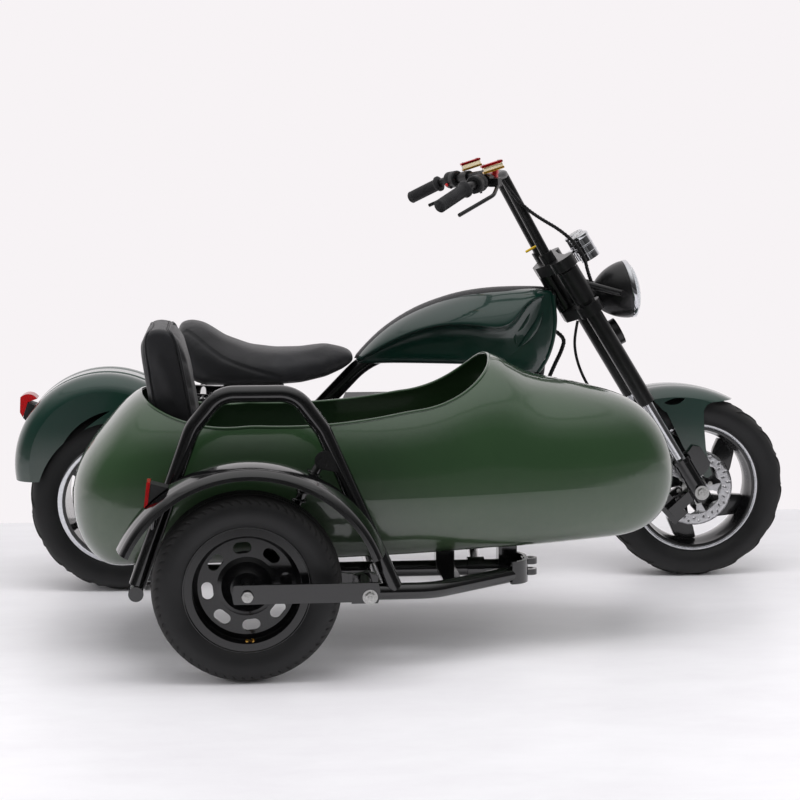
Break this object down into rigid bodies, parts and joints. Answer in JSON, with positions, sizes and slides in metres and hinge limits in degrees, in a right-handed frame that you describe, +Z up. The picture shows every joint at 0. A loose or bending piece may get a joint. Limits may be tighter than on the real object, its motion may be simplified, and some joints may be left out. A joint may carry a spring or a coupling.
{
  "type": "sidecar motorcycle",
  "caption": "Low chopper-style motorcycle with a torpedo-shaped sidecar on its right, a guard hoop and a hub motor.",
  "frame": {"origin": "centre of the outfit's outer box, on the ground it stands on", "axes": "+X forward along the bike, +Y to the rider's left, +Z up; the sidecar is on the -Y side"},
  "size_m": [2.0651, 1.4389, 1.1323],
  "materials": {
    "tyre": "satin",
    "machined_rim": "machined lip, black centre",
    "black_wheel": "gloss",
    "disc_steel": "ground",
    "bolt_steel": "zinc plated",
    "black_gloss": "gloss",
    "black_satin": "satin",
    "chrome": "mirror",
    "grip_rubber": "textured",
    "black_plastic": "matt",
    "teal_paint": "deep gloss",
    "olive_paint": "deep gloss",
    "reservoir": "clear with red cap",
    "lamp_glass": "clear, bright ring",
    "red_lens": "clear red",
    "black_leather": "grained",
    "hose_rubber": "spiral wrapped"
  },
  "bodies": {
    "outfit": {"battery_box": "black_plastic", "footboards": "black_satin", "frame_loom": "hose_rubber", "leg_shield": "teal_paint", "main_frame": "black_gloss", "rear_axle": "bolt_steel", "rear_fender": "teal_paint", "rear_shocks": "black_satin", "saddle": "black_leather", "sidecar_axle": "bolt_steel", "sidecar_backrest": "black_leather", "sidecar_bench": "black_plastic", "sidecar_fender": "black_gloss", "sidecar_frame": "black_gloss", "sidecar_hoop": "black_gloss", "sidecar_lamp": "black_plastic", "sidecar_lamp_lens": "red_lens", "sidecar_seat": "black_leather", "sidecar_shell": "olive_paint", "sidecar_shock": "black_satin", "sidecar_struts": "black_gloss", "sidecar_swing_arm": "black_gloss", "swing_arm": "black_satin", "tail_lamp": "black_plastic", "tail_lens": "red_lens", "tank_cover": "teal_paint"},
    "fork": {"fork_yokes": "black_satin", "fork_stanchions": "chrome", "fork_lowers": "black_satin", "front_axle": "bolt_steel", "handlebar": "black_satin", "grips": "grip_rubber", "switch_pods": "black_plastic", "brake_levers": "black_satin", "master_cylinders": "reservoir", "gauge_cups": "chrome", "headlamp": "black_satin", "headlamp_lens": "lamp_glass", "horn": "chrome", "front_fender": "teal_paint", "front_caliper": "black_satin", "brake_hose": "hose_rubber", "bar_loom": "hose_rubber"},
    "front_wheel": {"front_tyre": "tyre", "front_rim": "machined_rim", "front_disc": "disc_steel"},
    "rear_wheel": {"rear_tyre": "tyre", "rear_rim": "machined_rim", "rear_disc": "disc_steel"},
    "sidecar_wheel": {"sidecar_tyre": "tyre", "sidecar_rim": "black_wheel"}
  },
  "joints": [
    {"name": "steering", "type": "hinge", "parent": "outfit", "child": "fork", "pos_m": [0.43889, 0.34475, 0.73568], "axis": [-0.5225, 0, 0.8526], "range_deg": [-35, 35]},
    {"name": "front_wheel_spin", "type": "hinge", "parent": "fork", "child": "front_wheel", "pos_m": [0.7865, 0.34475, 0.245], "axis": [0, 1, 0], "continuous": true},
    {"name": "rear_wheel_spin", "type": "hinge", "parent": "outfit", "child": "rear_wheel", "pos_m": [-0.7555, 0.34475, 0.2385], "axis": [0, 1, 0], "continuous": true},
    {"name": "sidecar_wheel_spin", "type": "hinge", "parent": "outfit", "child": "sidecar_wheel", "pos_m": [-0.438, -0.60525, 0.21], "axis": [0, 1, 0], "continuous": true}
  ]
}
